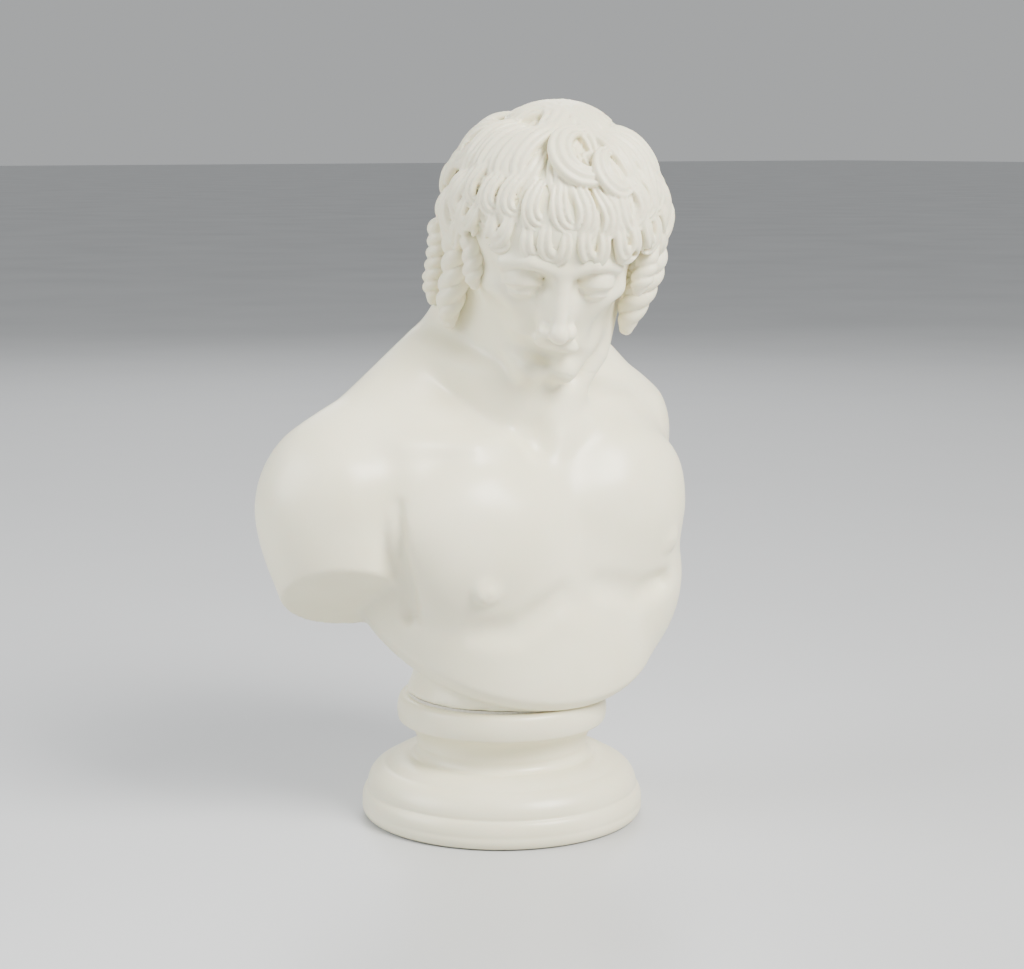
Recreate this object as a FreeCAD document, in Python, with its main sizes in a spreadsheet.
import FreeCAD, Part
import math
import os
import Sketcher

# Marble bust of a curly-haired youth on a turned socle. Millimetres, +Z up, the bust faces -Y,
# the origin is on the table under the middle of the foot.
os.makedirs("parts", exist_ok=True)
doc = FreeCAD.newDocument("marble_bust")
V = FreeCAD.Vector

# ---------------------------------------------------------------- sizes
sheet = doc.addObject("Spreadsheet::Sheet", "P")
SIZES = [
    # socle
    ("foot_dia", 145.0), ("foot_band", 15.0), ("foot_rise", 31.0), ("waist_dia", 88.0), ("waist_z", 37.0),
    ("collar_dia", 108.0), ("collar_z", 56.0), ("collar_thick", 13.0), ("socle_height", 63.0), ("top_dia", 100.0),
    ("hollow_dia", 96.0), ("hollow_depth", 23.0), ("felt_dia", 124.0), ("felt_thick", 2.0), ("felt_recess", 1.4),
    # fixing
    ("stud_dia", 10.0), ("stud_clear", 0.5), ("stud_length", 112.0), ("stud_tail", 5.5), ("washer_dia", 30.0),
    ("washer_thick", 2.5), ("lock_dia", 18.0), ("lock_thick", 2.6), ("nut_flats", 17.0), ("nut_thick", 8.4),
    ("sleeve_dia", 16.0), ("sleeve_length", 38.0), ("glue_gap", 0.3), ("pin_dia", 6.0), ("pin_length", 24.0),
    ("pin_back", 27.0), ("bed_thick", 1.2), ("bed_dia", 96.0), ("dowel_dia", 12.0), ("dowel_length", 56.0),
    # torso
    ("stem_dia", 98.0), ("stem_top_dia", 80.0), ("stem_flare", 8.0), ("chest_w", 172.0), ("chest_d", 118.0),
    ("chest_h", 176.0), ("chest_z", 62.0), ("girdle_z", 132.0),
    ("shoulder_half", 89.0), ("shoulder_z", 112.0), ("deltoid_d", 75.0), ("deltoid_h", 90.0),
    ("arm_dia", 65.0), ("arm_cut_z", 69.0), ("pec_w", 96.0), ("pec_d", 46.0), ("pec_h", 84.0), ("pec_half", 41.0),
    ("pec_z", 98.0), ("hem_r", 121.0), ("wall", 16.0), ("neck_dia", 66.0), ("neck_joint", 181.0),
    # head
    ("skull_w", 90.0), ("skull_d", 106.0), ("skull_h", 98.0), ("hair_w", 116.0), ("hair_d", 120.0),
    ("hair_h", 108.0), ("curl_r", 9.0), ("curl_thick", 7.4), ("head_x", 4.0), ("head_y", -34.0), ("head_z", 241.0),
]
VAL = dict(SIZES)
for row, (name, value) in enumerate(SIZES, start=1):
    sheet.set("A%d" % row, name)
    sheet.set("B%d" % row, str(value))
    sheet.setAlias("B%d" % row, name)
doc.recompute()

TORSO_LEAN = 7.0        # far shoulder carried higher than the near one, degrees
HEAD_BOW = 24.0         # face tipped down
HEAD_TURN = -27.0       # face turned to the bust's own right
HEAD_TILT = 3.0


def link(text):
    """A sheet expression from names of sizes: foot_dia/2 -> P.foot_dia/2."""
    out, word = "", ""
    for ch in str(text) + " ":
        if ch.isalnum() or ch == "_":
            word += ch
        else:
            out += ("P." + word if word in VAL else word) + ch
            word = ""
    return out.strip()


def number(text):
    """The value of such an expression now, worked out by the sheet itself."""
    sheet.set("D1", "=" + str(text))
    sheet.recompute()
    got = sheet.get("D1")
    return float(got.Value if hasattr(got, "Value") else got)


SEAT = "(socle_height + bed_thick)"      # where the stem stands


def bind(obj, **props):
    for prop, text in props.items():
        obj.setExpression(prop.replace("__", "."), link(text))


def locate(obj, x="0", y="0", z="0", turn=None):
    obj.Placement = FreeCAD.Placement(V(0, 0, 0), turn or FreeCAD.Rotation())
    for axis, text in (("x", x), ("y", y), ("z", z)):
        if str(text) != "0":
            obj.setExpression("Placement.Base." + axis, link(text))


def egg(name, w, d, h, x="0", y="0", z="0", turn=None):
    """An ellipsoid with full width, depth and height."""
    o = doc.addObject("Part::Ellipsoid", name)
    o.Angle1, o.Angle2, o.Angle3 = -90, 90, 360
    bind(o, Radius2="(%s)/2" % w, Radius3="(%s)/2" % d, Radius1="(%s)/2" % h)
    locate(o, x, y, z, turn)
    return o


def cone(name, d1, d2, h, x="0", y="0", z="0", turn=None):
    o = doc.addObject("Part::Cone", name)
    bind(o, Radius1="(%s)/2" % d1, Radius2="(%s)/2" % d2, Height=h)
    locate(o, x, y, z, turn)
    return o


def rod(name, d, h, x="0", y="0", z="0", turn=None):
    o = doc.addObject("Part::Cylinder", name)
    bind(o, Radius="(%s)/2" % d, Height=h)
    locate(o, x, y, z, turn)
    return o


def block(name, w, d, h, turn=None):
    o = doc.addObject("Part::Box", name)
    bind(o, Length=w, Width=d, Height=h)
    o.Placement = FreeCAD.Placement(V(0, 0, 0), turn or FreeCAD.Rotation())
    return o


def fuse(name, shapes):
    o = doc.addObject("Part::MultiFuse", name)
    o.Shapes = shapes
    o.Refine = False
    return o


def chain(name, shapes):
    """Fuses one piece after another, which the modeller does more surely than all at once."""
    o = shapes[0]
    for n, extra in enumerate(shapes[1:], start=1):
        f = doc.addObject("Part::Fuse", "%s_%02d" % (name, n))
        f.Base, f.Tool, f.Refine = o, extra, False
        o = f
    return o


def skin(name, long_axis, sections):
    """A smooth loft through level ellipses: (half width, half depth, middle y, height, middle x) from below."""
    rings = []
    for n, (a, b, y, z, x) in enumerate(sections):
        o = doc.addObject("Part::Ellipse", "%s_ring_%02d" % (name, n))
        big, small = (a, b) if long_axis == "X" else (b, a)
        o.MajorRadius, o.MinorRadius = number(big), number(small)
        bind(o, MajorRadius=big, MinorRadius=small)
        locate(o, x, y, z, None if long_axis == "X" else turn_about((0, 0, 1), 90.0))
        rings.append(o)
    o = doc.addObject("Part::Loft", name)
    o.Sections, o.Solid, o.Ruled, o.Closed = rings, True, False, False
    return o


def common(name, a, b):
    o = doc.addObject("Part::Common", name)
    o.Base, o.Tool = a, b
    return o


def cut(name, base, tool):
    o = doc.addObject("Part::Cut", name)
    o.Base, o.Tool = base, tool
    o.Refine = False
    return o


def turn_about(axis, deg):
    return FreeCAD.Rotation(V(*axis), deg)


# ---------------------------------------------------------------- sketches for the turned and padded pieces
def new_body(name):
    body = doc.addObject("PartDesign::Body", name)
    body.Label = name
    return body


def plane(body, role):
    for feature in body.Origin.OriginFeatures:
        if feature.Role == role:
            return feature


def new_sketch(body, name, role):
    sk = doc.addObject("Sketcher::SketchObject", name)
    body.addObject(sk)
    sk.AttachmentSupport = [(plane(body, role), "")]
    sk.MapMode = "FlatFace"
    return sk


def outline(sk, path):
    """A closed outline. Each vertex is (x, y, edge), both lengths written as sheet expressions, edge being
    how the outline goes on to the next vertex: None for a line, (share, side) for an arc whose radius is
    that share of the chord and whose middle bulges to the left (+1) or to the right (-1) of the way."""
    pts = [(number(x), number(y)) for x, y, _ in path]
    n = len(path)
    ends = []
    for i in range(n):
        (x0, y0), (x1, y1) = pts[i], pts[(i + 1) % n]
        edge = path[i][2]
        if edge is None:
            g = sk.addGeometry(Part.LineSegment(V(x0, y0, 0), V(x1, y1, 0)), False)
            ends.append((g, 1, 2))
            continue
        share, side = edge
        chord = math.hypot(x1 - x0, y1 - y0)
        r = share * chord
        ux, uy = (x1 - x0) / chord, (y1 - y0) / chord
        back = math.sqrt(max(r * r - chord * chord / 4, 0.0))
        cx = (x0 + x1) / 2 + side * uy * back
        cy = (y0 + y1) / 2 - side * ux * back
        a0, a1 = math.atan2(y0 - cy, x0 - cx), math.atan2(y1 - cy, x1 - cx)
        circle = Part.Circle(V(cx, cy, 0), V(0, 0, 1), r)
        if side > 0:        # clockwise from start to end
            g = sk.addGeometry(Part.ArcOfCircle(circle, a1, a0), False)
            ends.append((g, 2, 1))
        else:
            g = sk.addGeometry(Part.ArcOfCircle(circle, a0, a1), False)
            ends.append((g, 1, 2))
        k = sk.addConstraint(Sketcher.Constraint("Radius", g, r))
        j = (i + 1) % n
        sk.setExpression("Constraints[%d]" % k, link("%g * sqrt(((%s) - (%s))^2 + ((%s) - (%s))^2)" % (
            share, path[j][0], path[i][0], path[j][1], path[i][1])))
    for i in range(n):
        g, start, end = ends[i]
        g2, start2, _ = ends[(i + 1) % n]
        sk.addConstraint(Sketcher.Constraint("Coincident", g, end, g2, start2))
    for i in range(n):
        g, start, _ = ends[i]
        for value, text, kind, line in ((pts[i][0], path[i][0], "DistanceX", -2), (pts[i][1], path[i][1], "DistanceY", -1)):
            if abs(value) < 1e-9:
                sk.addConstraint(Sketcher.Constraint("PointOnObject", g, start, line))
            else:
                k = sk.addConstraint(Sketcher.Constraint(kind, -1, 1, g, start, value))
                sk.setExpression("Constraints[%d]" % k, link(text))


def turned(name, path):
    """A body turned about the Z axis from a half outline (radius, height)."""
    body = new_body(name)
    sk = new_sketch(body, name + "_outline", "XZ_Plane")
    outline(sk, path)
    doc.recompute()
    rev = body.newObject("PartDesign::Revolution", name + "_turned")
    rev.Profile = sk
    rev.ReferenceAxis = (sk, ["V_Axis"])
    rev.Angle = 360
    sk.Visibility = False
    doc.recompute()
    return body


# ---------------------------------------------------------------- socle
# Foot with a flat band, a shallow step, a domed top, a narrow waist and a round collar; hollow underneath.
socle = turned("socle", [
    ("felt_dia/2", "felt_thick - felt_recess", None),
    ("foot_dia/2 - 1.6", "felt_thick - felt_recess", (1.0, -1)),
    ("foot_dia/2 - 0.2", "0.43*foot_band", (1.4, -1)),
    ("foot_dia/2 - 1.8", "foot_band - 1", None),
    ("foot_dia/2 - 3.3", "foot_band - 0.2", None),
    ("foot_dia/2 - 2.7", "foot_band + 0.8", (0.85, -1)),
    ("foot_dia/2 - 12", "0.86*foot_rise", (1.2, -1)),
    ("waist_dia/2 + 3", "foot_rise", (0.62, 1)),
    ("waist_dia/2", "waist_z", (0.8, 1)),
    ("collar_dia/2 - 1.4", "collar_z - 0.5*collar_thick", None),
    ("collar_dia/2 - 0.9", "collar_z - 0.5*collar_thick + 0.5", (1.5, -1)),
    ("collar_dia/2 - 1.2", "collar_z + 0.42*collar_thick", (0.8, -1)),
    ("top_dia/2 - 1", "socle_height", None),
    ("stud_dia/2 + stud_clear", "socle_height", None),
    ("stud_dia/2 + stud_clear", "hollow_depth", None),
    ("hollow_dia/2 - 8", "hollow_depth", (0.71, 1)),
    ("hollow_dia/2", "hollow_depth - 8", None),
    ("hollow_dia/2", "felt_thick", None),
    ("felt_dia/2", "felt_thick", None),
])
pin_hole = new_sketch(socle, "socle_pin_hole", "XY_Plane")
c = pin_hole.addGeometry(Part.Circle(V(0, VAL["pin_back"], 0), V(0, 0, 1), VAL["pin_dia"] / 2 + VAL["glue_gap"]), False)
pin_hole.addConstraint(Sketcher.Constraint("PointOnObject", c, 3, -2))
k = pin_hole.addConstraint(Sketcher.Constraint("DistanceY", -1, 1, c, 3, VAL["pin_back"]))
pin_hole.setExpression("Constraints[%d]" % k, link("pin_back"))
k = pin_hole.addConstraint(Sketcher.Constraint("Radius", c, VAL["pin_dia"] / 2 + VAL["glue_gap"]))
pin_hole.setExpression("Constraints[%d]" % k, link("pin_dia/2 + glue_gap"))
pin_hole.AttachmentOffset = FreeCAD.Placement(V(0, 0, 0), FreeCAD.Rotation())
pin_hole.setExpression("AttachmentOffset.Base.z", link("socle_height + 1"))
doc.recompute()
pocket = socle.newObject("PartDesign::Pocket", "socle_pin_pocket")
pocket.Profile = pin_hole
pocket.Length = 14
pocket.setExpression("Length", link("pin_length/2 + 2"))
pin_hole.Visibility = False
doc.recompute()

# ---------------------------------------------------------------- fixing, from the socle's hollow upwards
LEDGE = "hollow_depth"
washer = turned("washer", [
    ("stud_dia/2 + stud_clear", LEDGE + " - washer_thick", None), ("washer_dia/2", LEDGE + " - washer_thick", None),
    ("washer_dia/2", LEDGE, None), ("stud_dia/2 + stud_clear", LEDGE, None)])

lock_z = LEDGE + " - washer_thick - lock_thick"
lock_washer = turned("lock_washer", [
    ("stud_dia/2 + stud_clear", lock_z, None), ("lock_dia/2", lock_z, None),
    ("lock_dia/2", lock_z + " + lock_thick", None), ("stud_dia/2 + stud_clear", lock_z + " + lock_thick", None)])
slit = new_sketch(lock_washer, "lock_washer_slit", "XY_Plane")
outline(slit, [("stud_dia/2 - 1", "0 - 0.8", None), ("lock_dia/2 + 1", "0 - 0.8", None),
               ("lock_dia/2 + 1", "0.8", None), ("stud_dia/2 - 1", "0.8", None)])
doc.recompute()
saw = lock_washer.newObject("PartDesign::Pocket", "lock_washer_cut")
saw.Profile = slit
saw.Type = 1
saw.Midplane = True
slit.Visibility = False
doc.recompute()

nut = new_body("nut")
hexagon = new_sketch(nut, "nut_hexagon", "XY_Plane")
corner = "nut_flats/sqrt(3)"
outline(hexagon, [(corner, "0", None), ("0.5*" + corner, "nut_flats/2", None), ("0 - 0.5*" + corner, "nut_flats/2", None),
                  ("0 - " + corner, "0", None), ("0 - 0.5*" + corner, "0 - nut_flats/2", None),
                  ("0.5*" + corner, "0 - nut_flats/2", None)])
hexagon.AttachmentOffset = FreeCAD.Placement(V(0, 0, 0), FreeCAD.Rotation())
hexagon.setExpression("AttachmentOffset.Base.z", link(lock_z + " - nut_thick"))
doc.recompute()
pad = nut.newObject("PartDesign::Pad", "nut_pad")
pad.Profile = hexagon
pad.setExpression("Length", link("nut_thick"))
hexagon.Visibility = False
doc.recompute()
thread = new_sketch(nut, "nut_thread", "XY_Plane")
c = thread.addGeometry(Part.Circle(V(0, 0, 0), V(0, 0, 1), VAL["stud_dia"] / 2), False)
thread.addConstraint(Sketcher.Constraint("Coincident", c, 3, -1, 1))
k = thread.addConstraint(Sketcher.Constraint("Radius", c, VAL["stud_dia"] / 2))
thread.setExpression("Constraints[%d]" % k, link("stud_dia/2"))
doc.recompute()
tap = nut.newObject("PartDesign::Pocket", "nut_tapped")
tap.Profile = thread
tap.Type = 1
tap.Midplane = True
thread.Visibility = False
doc.recompute()

stud = turned("stud", [
    ("0", "stud_tail", None), ("stud_dia/2 - 1", "stud_tail", None), ("stud_dia/2", "stud_tail + 1", None),
    ("stud_dia/2", "stud_tail + stud_length - 1", None), ("stud_dia/2 - 1", "stud_tail + stud_length", None),
    ("0", "stud_tail + stud_length", None)])

sleeve_top = "stud_tail + stud_length + 2"
anchor_sleeve = turned("anchor_sleeve", [
    ("stud_dia/2", sleeve_top + " - sleeve_length", None), ("sleeve_dia/2 - 0.6", sleeve_top + " - sleeve_length", None),
    ("sleeve_dia/2", sleeve_top + " - sleeve_length + 0.6", None), ("sleeve_dia/2", sleeve_top + " - 0.6", None),
    ("sleeve_dia/2 - 0.6", sleeve_top, None), ("stud_dia/2", sleeve_top, None)])

bedding_ring = turned("bedding_ring", [
    ("stud_dia/2 + stud_clear + 1.5", "socle_height", None), ("bed_dia/2", "socle_height", None),
    ("bed_dia/2", "socle_height + bed_thick", None), ("stud_dia/2 + stud_clear + 1.5", "socle_height + bed_thick", None)])
ring_hole = new_sketch(bedding_ring, "bedding_ring_hole", "XY_Plane")
c = ring_hole.addGeometry(Part.Circle(V(0, VAL["pin_back"], 0), V(0, 0, 1), VAL["pin_dia"] / 2 + VAL["glue_gap"]), False)
ring_hole.addConstraint(Sketcher.Constraint("PointOnObject", c, 3, -2))
k = ring_hole.addConstraint(Sketcher.Constraint("DistanceY", -1, 1, c, 3, VAL["pin_back"]))
ring_hole.setExpression("Constraints[%d]" % k, link("pin_back"))
k = ring_hole.addConstraint(Sketcher.Constraint("Radius", c, VAL["pin_dia"] / 2 + VAL["glue_gap"]))
ring_hole.setExpression("Constraints[%d]" % k, link("pin_dia/2 + glue_gap"))
doc.recompute()
punch = bedding_ring.newObject("PartDesign::Pocket", "bedding_ring_punch")
punch.Profile = ring_hole
punch.Type = 1
punch.Midplane = True
ring_hole.Visibility = False
doc.recompute()

pin_low = "socle_height + bed_thick/2 - pin_length/2"
locating_pin = rod("locating_pin_shank", "pin_dia", "pin_length", "0", "pin_back", pin_low)
locating_pin.Label = "locating_pin"

base_felt = turned("base_felt", [
    ("0", "0", None), ("felt_dia/2 - 0.4", "0", None), ("felt_dia/2 - 0.4", "felt_thick", None),
    ("0", "felt_thick", None)])

# ---------------------------------------------------------------- torso, in its own frame: zero is the seat
LEAN = turn_about((0, 1, 0), -TORSO_LEAN)
trunk = skin("trunk", "X", [
    ("0.26*chest_w", "0.30*chest_d", "0 - 12", "0 - 6", "0"),
    ("0.40*chest_w", "0.44*chest_d", "0 - 9", "12", "0"),
    ("0.475*chest_w", "0.495*chest_d", "0 - 6", "0.55*chest_z", "0"),
    ("0.505*chest_w", "0.51*chest_d", "0 - 4", "chest_z", "0"),
    ("0.535*chest_w", "0.51*chest_d", "0", "0.68*girdle_z", "0"),
    ("0.575*chest_w", "0.46*chest_d", "5", "0.89*girdle_z", "0"),
    ("0.57*chest_w", "0.39*chest_d", "9", "1.03*girdle_z", "2"),
    ("0.47*chest_w", "0.32*chest_d", "13", "1.14*girdle_z", "6"),
    ("0.34*chest_w", "0.28*chest_d", "14", "1.24*girdle_z", "11"),
    ("0.24*chest_w", "0.25*chest_d", "11", "1.33*girdle_z", "16"),
    ("0.46*neck_dia", "0.45*neck_dia", "4", "1.44*girdle_z", "19")])
hem = egg("hem_bowl", "2*hem_r", "2*hem_r", "2*hem_r", "0", "0-30", "hem_r - 3", turn_about((0, 0, 1), 90.0))
hemmed = common("hemmed_trunk", trunk, hem)

c30, s30 = math.cos(math.radians(30)), math.sin(math.radians(30))
parts = [hemmed]
for side, tag in ((-1, "near"), (1, "far")):
    s = "%d*" % side
    # shoulder and upper arm, cut off at a slant
    slant = block("arm_saw_" + tag, "140", "200", "90", turn_about((1, 0, 0), -30.0))
    bind(slant, Placement__Base__x="%d*shoulder_half - 70" % side,
         Placement__Base__y="13 - 100*%.5f - 90*%.5f" % (c30, s30),
         Placement__Base__z="arm_cut_z + 100*%.5f - 90*%.5f" % (s30, c30))
    mass = chain("arm_mass_" + tag, [
        cone("arm_rod_" + tag, "0.96*arm_dia", "1.02*arm_dia", "0.8*shoulder_z", s + "(shoulder_half + 2)", "13", "0.2*shoulder_z"),
        egg("deltoid_" + tag, "deltoid_d", "1.04*deltoid_d", "deltoid_h", s + "shoulder_half", "12.5", "shoulder_z - 1",
            turn_about((0, 1, 0), side * -8.0))])
    parts.append(cut("arm_" + tag, mass, slant))
for side, tag in ((-1, "near"), (1, "far")):
    s = "%d*" % side
    parts.append(egg("pectoral_" + tag, "pec_w", "pec_d", "pec_h", s + "pec_half", "0 - 0.30*chest_d",
                     "pec_z - 2", turn_about((0, 1, 0), side * 12.0) * turn_about((0, 0, 1), side * 13.0)))
    parts.append(egg("nipple_" + tag, "7", "7", "7", s + "1.44*pec_half", "0 - 0.445*chest_d", "0.76*pec_z"))
    parts.append(egg("shoulder_blade_" + tag, "0.62*shoulder_half", "24", "0.9*shoulder_half", s + "0.5*shoulder_half",
                     "0.345*chest_d", "girdle_z - 30", turn_about((0, 1, 0), side * -10.0)))
outer = chain("torso_outer", parts)
outer.Placement = FreeCAD.Placement(V(0, 0, 0), LEAN)
lean_r = math.radians(TORSO_LEAN)
outer.setExpression("Placement.Base.x", link("chest_z*%.6f" % math.sin(lean_r)))
outer.setExpression("Placement.Base.z", link(SEAT + " + chest_z*%.6f" % (1 - math.cos(lean_r))))

# hollow from below, the stem inside it, and the neck stub
hollow = egg("torso_hollow", "chest_w - 2.2*wall", "chest_d - 2.4*wall", "chest_h - 2*wall", "0", "1", SEAT + " + chest_z")
shell = cut("torso_shell", outer, hollow)
stem_foot = cone("stem_foot", "stem_dia", "stem_top_dia + 6", "stem_flare", "0", "0", SEAT)
stem_neck = cone("stem_neck", "stem_top_dia + 6", "stem_top_dia", "stem_flare", "0", "0", SEAT + " + stem_flare")
stem = cone("stem", "stem_top_dia", "0.86*stem_top_dia", "girdle_z + 4 - 2*stem_flare", "0", "0", SEAT + " + 2*stem_flare")

HEAD = (FreeCAD.Rotation(V(0, 0, 1), HEAD_TURN) * FreeCAD.Rotation(V(0, 1, 0), HEAD_TILT)
        * FreeCAD.Rotation(V(1, 0, 0), HEAD_BOW))
# the neck runs from between the shoulders to the back of the skull's base; both castings share one neck line
root = V(0, 13, number("socle_height + bed_thick + girdle_z - 6"))
base = V(number("head_x"), number("head_y"), number("socle_height + bed_thick + head_z")) + HEAD.multVec(V(0, 17, -34))
line = base.sub(root)
neck_turn = FreeCAD.Rotation(V(0, 0, 1), line)
neck_all = line.Length
joint_at = (number("socle_height + bed_thick + neck_joint") - root.z) / line.z * neck_all


def on_neck(obj, along):
    obj.Placement = FreeCAD.Placement(root + neck_turn.multVec(V(0, 0, along)), neck_turn)
    return obj


neck_low = on_neck(cone("neck_low", "1.2*neck_dia", "1.1*neck_dia", str(joint_at)), 0)
torso_solid = fuse("torso_solid", [shell, stem_foot, stem_neck, stem, neck_low])

# everything above the joint plane belongs to the head casting
above = on_neck(rod("joint_above", "chest_w", "skull_h"), joint_at)
torso_trimmed = cut("torso_trimmed", torso_solid, on_neck(rod("joint_saw", "0.62*chest_w", "skull_h"), joint_at))
dowel_bore = on_neck(rod("dowel_bore_low", "dowel_dia + 2*glue_gap", "dowel_length"), joint_at - VAL["dowel_length"] / 2 - 2)
torso_bored = cut("torso_bored", torso_trimmed, dowel_bore)
stud_bore = rod("stud_bore", "stud_dia + 2*stud_clear", "stud_tail + stud_length + 6 - " + SEAT, "0", "0", SEAT)
sleeve_bore = rod("sleeve_bore", "sleeve_dia + 2*glue_gap", "sleeve_length + 0.6", "0", "0", sleeve_top + " - sleeve_length - 0.3")
torso_drilled = cut("torso_drilled", torso_bored, fuse("stem_bores", [
    stud_bore, sleeve_bore,
    rod("pin_bore", "pin_dia + 2*glue_gap", "pin_length/2 + 1", "0", "pin_back", SEAT)]))
torso_drilled.Label = "torso"

neck_dowel = on_neck(rod("neck_dowel_bar", "dowel_dia", "dowel_length"), joint_at - VAL["dowel_length"] / 2)
neck_dowel.Label = "neck_dowel"

# ---------------------------------------------------------------- head, in its own frame: zero is the middle of the skull
face = [skin("face_and_skull", "Y", [
            ("0.13*skull_w", "0.13*skull_d", "0 - 0.37*skull_d", "0 - 0.685*skull_h", "0"),
            ("0.25*skull_w", "0.25*skull_d", "0 - 0.26*skull_d", "0 - 0.62*skull_h", "0"),
            ("0.35*skull_w", "0.37*skull_d", "0 - 0.14*skull_d", "0 - 0.45*skull_h", "0"),
            ("0.405*skull_w", "0.45*skull_d", "0 - 0.05*skull_d", "0 - 0.26*skull_h", "0"),
            ("0.45*skull_w", "0.48*skull_d", "0 - 0.01*skull_d", "0 - 0.06*skull_h", "0"),
            ("0.47*skull_w", "0.49*skull_d", "0", "0.12*skull_h", "0"),
            ("0.40*skull_w", "0.42*skull_d", "0.02*skull_d", "0.32*skull_h", "0"),
            ("0.16*skull_w", "0.18*skull_d", "0.03*skull_d", "0.48*skull_h", "0")]),
        egg("chin", "0.26*skull_w", "0.16*skull_d", "0.15*skull_h", "0", "0 - 0.445*skull_d", "0 - 0.60*skull_h"),
        egg("nose_bridge", "0.13*skull_w", "0.15*skull_d", "0.36*skull_h", "0", "0 - 0.487*skull_d", "0 - 0.21*skull_h",
            turn_about((1, 0, 0), -16.0)),
        egg("nose_tip", "0.16*skull_w", "0.13*skull_d", "0.105*skull_h", "0", "0 - 0.556*skull_d", "0 - 0.325*skull_h"),
        egg("upper_lip", "0.29*skull_w", "0.09*skull_d", "0.055*skull_h", "0", "0 - 0.472*skull_d", "0 - 0.440*skull_h"),
        egg("lower_lip", "0.23*skull_w", "0.09*skull_d", "0.06*skull_h", "0", "0 - 0.467*skull_d", "0 - 0.487*skull_h")]
for side, tag in ((-1, "near"), (1, "far")):
    s = "%d*" % side
    face += [egg("eye_" + tag, "0.22*skull_w", "0.12*skull_d", "0.105*skull_h", s + "0.2*skull_w", "0 - 0.405*skull_d",
                 "0 - 0.135*skull_h", turn_about((0, 0, 1), side * 16.0)),
             egg("brow_" + tag, "0.36*skull_w", "0.14*skull_d", "0.075*skull_h", s + "0.205*skull_w", "0 - 0.405*skull_d",
                 "0 - 0.045*skull_h", turn_about((0, 0, 1), side * 22.0)),
             egg("nostril_" + tag, "0.085*skull_w", "0.085*skull_d", "0.065*skull_h", s + "0.062*skull_w", "0 - 0.51*skull_d",
                 "0 - 0.335*skull_h"),
             egg("ear_" + tag, "8", "0.17*skull_d", "0.2*skull_h", s + "0.46*skull_w", "0.04*skull_d", "0 - 0.18*skull_h")]
bare_head = chain("bare_head", face)

# hair: a cap over the skull and tiers of C-shaped locks on it, the lowest tier framing the face
cap = egg("hair_mass", "hair_w - 0.6*curl_thick", "hair_d - 0.6*curl_thick", "hair_h - 0.6*curl_thick", "0", "0.03*skull_d", "0.09*skull_h")
cap_front = block("hair_line", "2*skull_w", "skull_d", "2*skull_h", turn_about((1, 0, 0), 14.0))
bind(cap_front, Placement__Base__x="0 - skull_w", Placement__Base__y="0 - 1.28*skull_d", Placement__Base__z="0 - 1.66*skull_h")
cap_cut = cut("hair_cap", cap, cap_front)
nape = egg("nape_hair", "0.9*skull_w", "0.56*skull_d", "0.72*skull_h", "0", "0.22*skull_d", "0 - 0.24*skull_h")

locks = []


def lock(n, lon, lat, size, roll, sweep):
    """A C-shaped lock lying on the hair cap at a longitude (0 over the face) and latitude, degrees."""
    lo, la = math.radians(lon), math.radians(lat)
    nx, ny, nz = math.sin(lo) * math.cos(la), -math.cos(lo) * math.cos(la), math.sin(la)
    o = doc.addObject("Part::Torus", "lock_%02d" % n)
    bind(o, Radius1="%g*curl_r" % size, Radius2="curl_thick/2")
    o.Angle3 = sweep
    o.Placement = FreeCAD.Placement(V(0, 0, 0), FreeCAD.Rotation(V(0, 0, 1), V(nx, ny, nz)) * FreeCAD.Rotation(V(0, 0, 1), roll))
    for axis, text in (("x", "%.5f*0.475*hair_w" % nx), ("y", "0.03*skull_d + (%.5f)*0.475*hair_d" % ny),
                       ("z", "0.09*skull_h + (%.5f)*0.475*hair_h" % nz)):
        o.setExpression("Placement.Base." + axis, link(text))
    locks.append(o)


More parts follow.
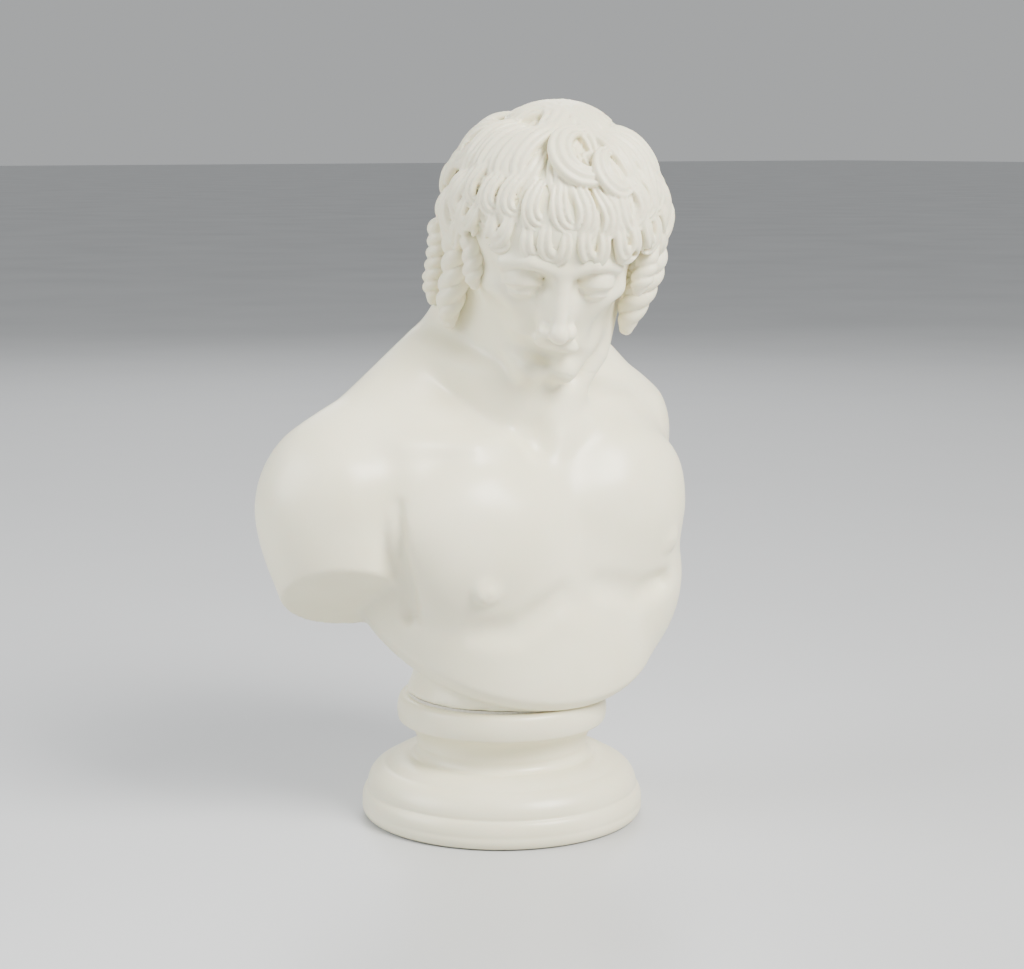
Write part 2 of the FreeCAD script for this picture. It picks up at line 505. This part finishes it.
count = 0
for tier, (lat, number_of, size, sweep) in enumerate(((8, 16, 0.95, 240), (27, 14, 1.1, 220), (46, 11, 1.15, 215), (67, 7, 1.15, 215))):
    for i in range(number_of):
        count += 1
        lon = -180 + 360.0 * (i + 0.5 * (tier % 2)) / number_of
        wob = math.sin(12.9898 * count) * 0.5
        lock(count, lon, lat + 6 * wob, size * (1 + 0.15 * wob), 40 + 150 * wob + 97 * tier, sweep)
for lon, lat in ((-78, -16), (-100, -30), (-128, -22), (78, -16), (100, -30), (128, -22), (180, -22), (-155, -28), (155, -28)):
    count += 1
    lock(count, lon, lat, 0.95, 31 * count, 240)
side_curls = []
for side, tag in ((-1, "near"), (1, "far")):
    s = "%d*" % side
    for strand, (width, at, drop) in enumerate((("0.50", "0 - 0.10*skull_d", 5), ("0.54", "0.10*skull_d", 4))):
        for step in range(drop):
            side_curls.append(egg("side_curl_%s_%d%d" % (tag, strand, step), "%g*skull_w" % (0.185 - 0.012 * step), "%g*skull_d" % (0.17 - 0.012 * step), "0.16*skull_h",
                                  s + width + "*skull_w", at + " - %g*skull_h" % (0.055 * step),
                                  "0 - %g*skull_h" % (0.12 + 0.098 * step), turn_about((0, 1, 0), 18.0)))
head_local = fuse("head_local", [bare_head, cap_cut, nape] + side_curls + locks)
head_local.Placement = FreeCAD.Placement(V(0, 0, 0), HEAD)
for axis, text in (("x", "head_x"), ("y", "head_y"), ("z", SEAT + " + head_z")):
    head_local.setExpression("Placement.Base." + axis, link(text))

neck_high = on_neck(cone("neck_high", "1.1*neck_dia", "0.96*neck_dia", str(neck_all - joint_at)), joint_at)
head_joined = fuse("head_joined", [head_local, neck_high])
head = cut("head_bored", head_joined, on_neck(rod("dowel_bore_high", "dowel_dia + 2*glue_gap", "dowel_length/2 + 2"), joint_at))
head.Label = "head"

doc.recompute()

# ---------------------------------------------------------------- checks and files
NODES = [("socle", socle), ("torso", torso_drilled), ("head", head), ("neck_dowel", neck_dowel),
         ("bedding_ring", bedding_ring), ("locating_pin", locating_pin), ("anchor_sleeve", anchor_sleeve),
         ("stud", stud), ("washer", washer), ("lock_washer", lock_washer), ("nut", nut), ("base_felt", base_felt)]
for obj in doc.Objects:
    bad = [state for state in obj.State if state in ("Invalid", "Error")]
    if bad:
        raise RuntimeError("%s is %s" % (obj.Name, bad))
for name, obj in NODES:
    shape = obj.Shape
    if not shape.isNull() and len(shape.Solids) > 1:
        for q in shape.Solids:
            print("   piece", name, round(q.Volume / 1000, 2), q.BoundBox)
    if shape.isNull() or not shape.isValid() or len(shape.Solids) != 1:
        raise RuntimeError("%s: null %s, valid %s, solids %d" % (name, shape.isNull(), (not shape.isNull()) and shape.isValid(),
                                                                 len(shape.Solids)))
    b = shape.BoundBox
    print("%-14s %7.1f cm3  x %.1f..%.1f  y %.1f..%.1f  z %.1f..%.1f" % (
        name, shape.Volume / 1000, b.XMin, b.XMax, b.YMin, b.YMax, b.ZMin, b.ZMax))
    shape.exportStep(os.path.join("parts", name + ".step"))
